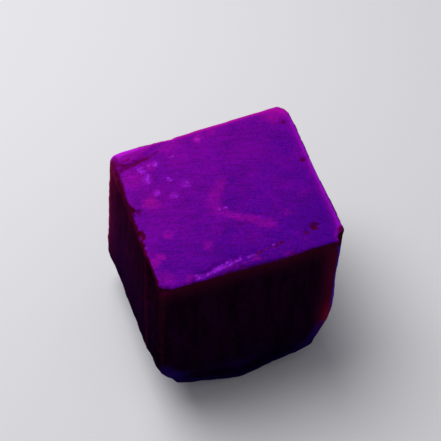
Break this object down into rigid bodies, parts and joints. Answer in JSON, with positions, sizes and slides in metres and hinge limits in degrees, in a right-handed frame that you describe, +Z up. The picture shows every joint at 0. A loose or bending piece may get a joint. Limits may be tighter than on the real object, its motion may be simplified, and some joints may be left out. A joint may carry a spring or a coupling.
{
  "type": "rough ruby crystal",
  "caption": "Rough ruby crystal grown as a slightly skewed cube, with a level top, worn edges, a cracked front edge and a broken base it rests on.",
  "frame": {"origin": "under the middle of the stone, at the level of the flat it rests on", "axes": "+Z up out of the level top face, front face looking along -Y, +X to the right along the front edge"},
  "size_m": [0.0134, 0.0128, 0.0122],
  "materials": {
    "ruby": "dull, waxy natural crystal faces"
  },
  "bodies": {
    "root": {"ruby_crystal": "ruby"}
  },
  "joints": []
}
